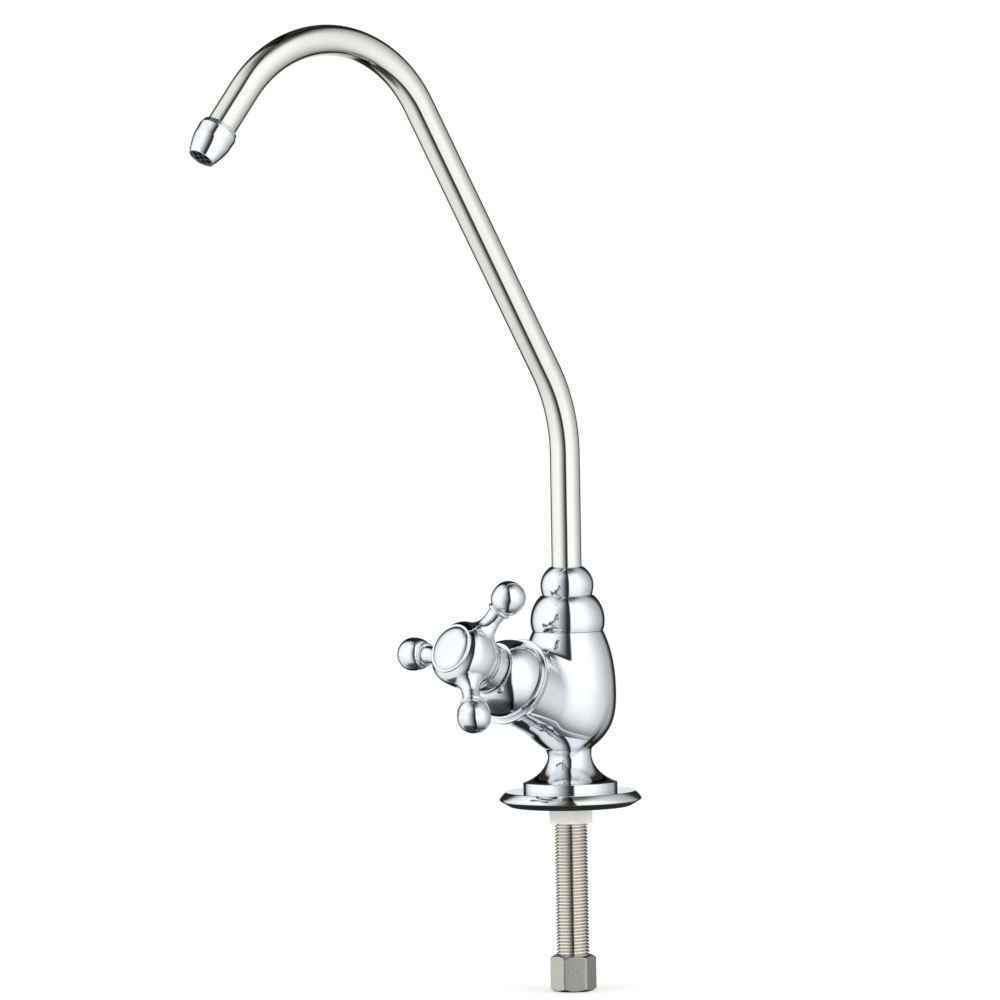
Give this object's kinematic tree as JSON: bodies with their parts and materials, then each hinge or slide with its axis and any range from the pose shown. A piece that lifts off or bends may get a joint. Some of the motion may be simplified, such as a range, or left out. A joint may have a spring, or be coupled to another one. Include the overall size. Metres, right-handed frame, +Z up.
{
  "type": "drinking water faucet",
  "caption": "Chromed counter faucet with a tilted valve, a three-arm handle and a swivelling high-arc brushed spout on a threaded shank with its nuts.",
  "frame": {"origin": "on the column's axis, on the washer's underside, which rests on the counter", "axes": "+Z up along the column's axis, -Y is the side that the valve leans up towards"},
  "size_m": [0.064, 0.2077, 0.3861],
  "materials": {
    "chromed_brass": "polished mirror chrome",
    "chromed_plate": "polished mirror chrome",
    "chromed_handle": "polished mirror chrome",
    "satin_collar": "satin, fine grained",
    "brushed_tube": "brushed along the tube",
    "nickel_plated_shank": "bright nickel with a warm tint",
    "nickel_plated_nut": "dull nickel, slightly speckled",
    "brass": "machined",
    "steel_screw": "stainless",
    "black_rubber": "matt",
    "seal_rubber": "smooth",
    "white_nylon": "moulded off-white nylon",
    "white_acetal": "smooth acetal",
    "black_plastic": "moulded",
    "white_ceramic": "lapped alumina ceramic",
    "grey_ceramic": "lapped silicon carbide ceramic"
  },
  "bodies": {
    "root": {"body": "chromed_brass", "escutcheon": "chromed_plate", "base_washer": "black_rubber", "threaded_shank": "nickel_plated_shank", "shank_seal": "seal_rubber", "coupling_nut": "nickel_plated_nut", "compression_ferrule": "brass", "spout_socket": "chromed_brass", "socket_o_ring": "seal_rubber", "spout_thrust_washer": "white_acetal", "spout_cap_nut": "chromed_brass", "cartridge_housing": "brass", "cartridge_o_ring": "seal_rubber", "seat_seal": "seal_rubber", "fixed_disc": "white_ceramic", "bonnet_dome": "chromed_brass"},
    "spout": {"spout_end_fitting": "brass", "spout_o_rings": "seal_rubber", "spout_tube": "brushed_tube", "spout_nozzle": "chromed_brass", "outlet_insert": "black_plastic"},
    "handle": {"handle": "chromed_handle", "handle_skirt": "satin_collar", "handle_screw": "steel_screw", "index_cap": "chromed_handle", "valve_stem": "brass", "stem_thrust_washer": "white_acetal", "stem_o_rings": "seal_rubber", "stem_clip": "steel_screw", "moving_disc": "grey_ceramic"},
    "clamp_nut": {"mounting_nut": "white_nylon"}
  },
  "joints": [
    {"name": "spout_swivel", "type": "hinge", "parent": "root", "child": "spout", "pos_m": [0, 0, 0.08], "axis": [0, 0, 1], "continuous": true},
    {"name": "handle_turn", "type": "hinge", "parent": "root", "child": "handle", "pos_m": [0, 0, 0.0372], "axis": [0, -0.91, 0.4145], "range_deg": [0, 90]},
    {"name": "mounting_nut_travel", "type": "slide", "parent": "root", "child": "clamp_nut", "axis": [0, 0, -1], "range_m": [0, 0.045]}
  ]
}
